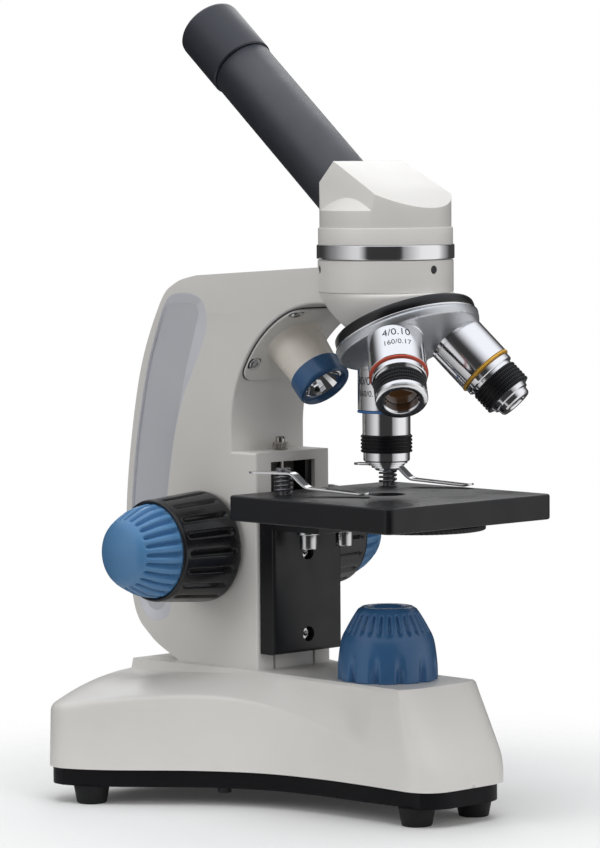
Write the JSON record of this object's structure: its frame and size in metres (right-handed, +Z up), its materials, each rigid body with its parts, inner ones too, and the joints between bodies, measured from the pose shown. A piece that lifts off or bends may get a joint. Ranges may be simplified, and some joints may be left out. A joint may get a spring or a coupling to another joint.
{
  "type": "compound microscope",
  "caption": "Upright monocular student microscope with curved arm, inclined tube, turning nosepiece, geared focus, square clip stage and lamps above and below.",
  "frame": {"origin": "middle of the overall outline at the bottom of the feet", "axes": "+X from the arm towards the front of the stage, +Y across the knobs, +Z up"},
  "size_m": [0.1896, 0.162, 0.3253],
  "materials": {
    "accent": "grey-blue satin",
    "black_metal": "black satin coat",
    "black_plastic": "moulded black",
    "blue_band": "painted",
    "blue_knob": "blue moulded",
    "blue_lamp": "deep blue moulded",
    "board": "solder mask",
    "brass": "turned",
    "cell": "printed sleeve",
    "chrome": "mirror chrome",
    "glass": "clear",
    "led": "epoxy",
    "lens": "amber coated",
    "red_band": "painted",
    "reflector": "faceted",
    "rubber": "matte",
    "satin_silver": "satin anodised",
    "spring_steel": "dark spring wire",
    "steel": "bright zinc",
    "white_cast": "warm white satin paint on cast metal",
    "yellow_band": "painted"
  },
  "bodies": {
    "stand": {"base_shell": "white_cast", "bottom_plate": "black_plastic", "rubber_feet": "rubber", "base_screws": "steel", "battery_tray": "black_plastic", "batteries": "cell", "arm_shell": "white_cast", "accent_panels": "accent", "head_set_screws": "steel", "guide_rails": "black_metal", "focus_bushes": "brass", "nosepiece_mount": "white_cast", "lamp_plate": "white_cast", "lamp_screws": "steel", "lamp_housing": "white_cast", "lamp_bezel": "blue_lamp", "lamp_reflector": "reflector", "lamp_led": "led", "illuminator_cap": "blue_lamp", "illuminator_lens": "glass", "illuminator_board": "board"},
    "battery_door": {"battery_door": "black_plastic"},
    "power_switch": {"power_switch": "black_plastic"},
    "stop_screw": {"stop_screw": "brass"},
    "coarse_drive": {"coarse_knobs": "black_plastic", "coarse_shaft": "steel", "pinion": "brass"},
    "fine_drive": {"fine_knobs": "blue_knob", "fine_shaft": "steel"},
    "carriage": {"carriage_block": "black_metal", "rack": "brass"},
    "stage": {"stage_bracket": "black_metal", "stage_plate": "black_metal", "stage_screws": "steel", "diaphragm_pivot": "steel"},
    "diaphragm": {"disc_diaphragm": "black_plastic"},
    "clip_left": {"clip_left": "steel", "clip_left_post": "steel", "clip_left_spring": "spring_steel"},
    "clip_right": {"clip_right": "steel", "clip_right_post": "steel", "clip_right_spring": "spring_steel"},
    "turret": {"turret_body": "satin_silver", "turret_ring": "black_plastic", "objective_low": "chrome", "objective_mid": "chrome", "objective_high": "chrome", "band_low": "red_band", "band_mid": "yellow_band", "band_high": "blue_band", "objective_grips": "black_metal", "objective_lenses": "lens"},
    "sprung_nose": {"sprung_nose": "chrome"},
    "head": {"head_ring": "chrome", "head_housing": "white_cast", "prism": "glass", "eyepiece_tube": "black_metal"},
    "eyepiece": {"eyepiece_barrel": "chrome", "eyepiece_cap": "black_plastic", "eyepiece_lens": "glass"}
  },
  "joints": [
    {"name": "coarse_turn", "type": "hinge", "parent": "stand", "child": "coarse_drive", "pos_m": [-0.04219, 0, 0.1026], "axis": [0, -1, 0], "range_deg": [-57, 77.5]},
    {"name": "coarse_slide", "type": "slide", "parent": "stand", "child": "carriage", "axis": [0, 0, 1], "range_m": [-0.0055, 0.0075]},
    {"name": "fine_turn", "type": "hinge", "parent": "stand", "child": "fine_drive", "pos_m": [-0.04219, 0, 0.1026], "axis": [0, -1, 0], "range_deg": [-366, 366]},
    {"name": "fine_slide", "type": "slide", "parent": "carriage", "child": "stage", "axis": [0, 0, 1], "range_m": [-0.0004, 0.0004]},
    {"name": "turret_turn", "type": "hinge", "parent": "stand", "child": "turret", "pos_m": [0.04181, 0, 0.2194], "axis": [0.4334, -0.0394, -0.9003], "continuous": true},
    {"name": "nose_slide", "type": "slide", "parent": "turret", "child": "sprung_nose", "axis": [0, 0, 1], "range_m": [0, 0.0015], "stiffness_N_per_m": 800},
    {"name": "head_turn", "type": "hinge", "parent": "stand", "child": "head", "pos_m": [0.04181, 0, 0.221], "axis": [0, 0, 1], "continuous": true},
    {"name": "eyepiece_draw", "type": "slide", "parent": "head", "child": "eyepiece", "axis": [-0.7705, 0, 0.6374], "range_m": [0, 0.025]},
    {"name": "clip_left_turn", "type": "hinge", "parent": "stage", "child": "clip_left", "pos_m": [0.01282, -0.0293, 0.127], "axis": [0, 0, 1], "range_deg": [-60, 15]},
    {"name": "clip_right_turn", "type": "hinge", "parent": "stage", "child": "clip_right", "pos_m": [0.01282, 0.0293, 0.127], "axis": [0, 0, 1], "range_deg": [-63, 11]},
    {"name": "diaphragm_turn", "type": "hinge", "parent": "stage", "child": "diaphragm", "pos_m": [0.05982, 0, 0.1156], "axis": [0, 0, 1], "continuous": true},
    {"name": "stop_screw_turn", "type": "hinge", "parent": "stand", "child": "stop_screw", "pos_m": [-0.02019, 0, 0.142], "axis": [0, 0, 1], "continuous": true},
    {"name": "power_rocker", "type": "hinge", "parent": "stand", "child": "power_switch", "pos_m": [-0.07619, 0.042, 0.029], "axis": [0, 1, 0], "range_deg": [-8, 8]},
    {"name": "battery_door_slide", "type": "slide", "parent": "stand", "child": "battery_door", "axis": [-1, 0, 0], "range_m": [0, 0.008]}
  ],
  "couplings": [
    {"joint": "coarse_turn", "follows": "coarse_slide", "rad_per_m": 178.57},
    {"joint": "fine_turn", "follows": "fine_slide", "rad_per_m": 15873}
  ]
}
